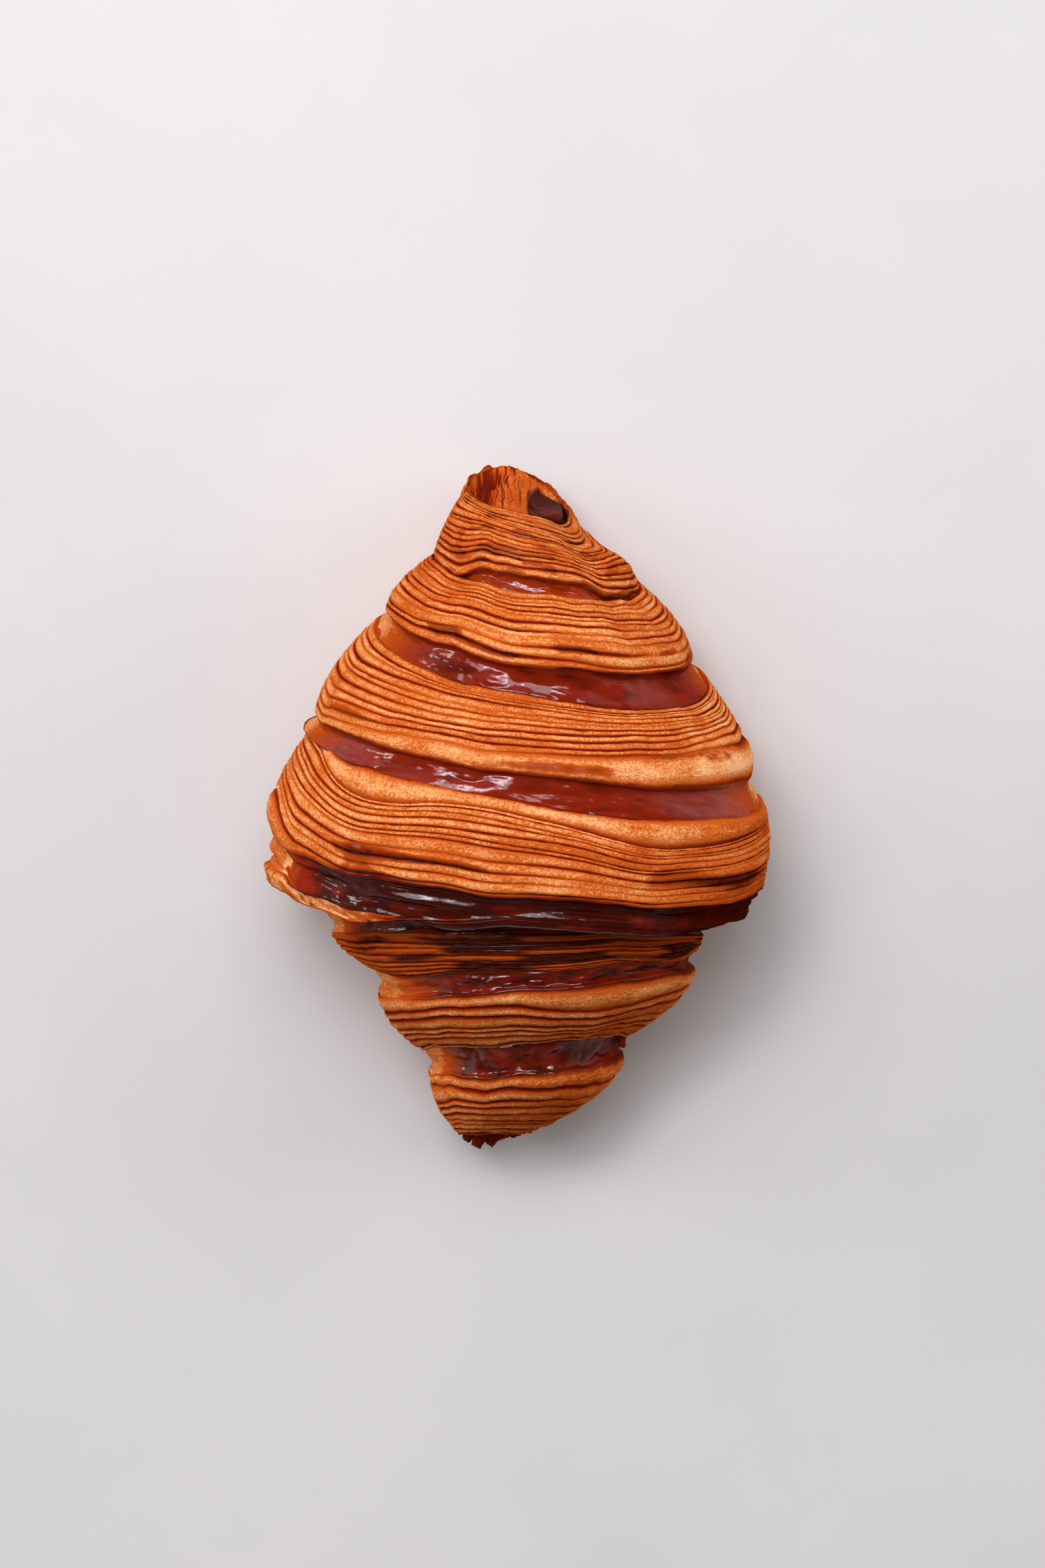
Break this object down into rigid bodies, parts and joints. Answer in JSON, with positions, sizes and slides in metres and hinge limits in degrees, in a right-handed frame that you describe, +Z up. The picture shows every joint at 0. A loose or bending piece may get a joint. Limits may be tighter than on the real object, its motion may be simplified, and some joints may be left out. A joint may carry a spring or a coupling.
{
  "type": "croissant",
  "caption": "Baked butter croissant: a laminated dough roll with striped cut edges, dark glazed bands between them and two pointed tips, lying on its flat underside.",
  "frame": {"origin": "middle of the flat underside, at the centre of the croissant's length and width", "axes": "+Y along the roll towards its open tip, +Z up through the crest, +X towards the end of the last turn that lies on the right when seen from the dark tip"},
  "size_m": [0.0966, 0.1352, 0.0654],
  "materials": {
    "crust": "baked flaky crust, golden to red-brown, matt to satin",
    "glaze": "dark red-brown egg wash, glossy and wrinkled",
    "burnt": "burnt leaf edges, nearly black, matt"
  },
  "bodies": {
    "root": {"croissant": "crust"}
  },
  "joints": []
}
